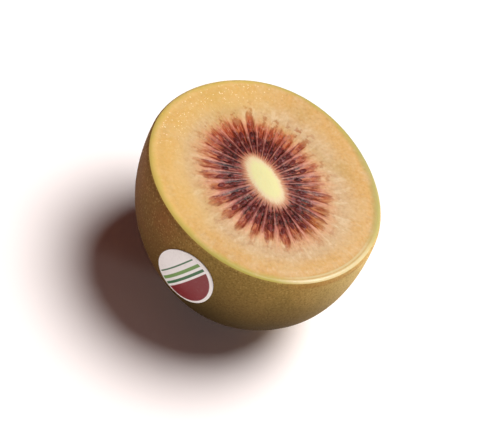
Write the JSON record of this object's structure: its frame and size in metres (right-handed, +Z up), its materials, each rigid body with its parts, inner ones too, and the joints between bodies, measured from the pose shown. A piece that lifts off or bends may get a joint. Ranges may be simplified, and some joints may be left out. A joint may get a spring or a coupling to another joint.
{
  "type": "kiwi fruit half",
  "caption": "Half of a red-fleshed golden kiwi fruit, cut across, with a pale core, dark seeds, smooth brown skin and a plain oval sticker.",
  "frame": {"origin": "middle of the bounding box in plan, at the level of the flat spot the fruit rests on", "axes": "+X along the long width of the cut face, +Z up, square to the cut face, +Y across"},
  "size_m": [0.0528, 0.0484, 0.0328],
  "materials": {
    "fruit": "wet golden flesh with red seed chambers, under a smooth brown skin",
    "sticker": "satin printed paper"
  },
  "bodies": {
    "root": {"fruit_half": "fruit", "label": "sticker"}
  },
  "joints": []
}
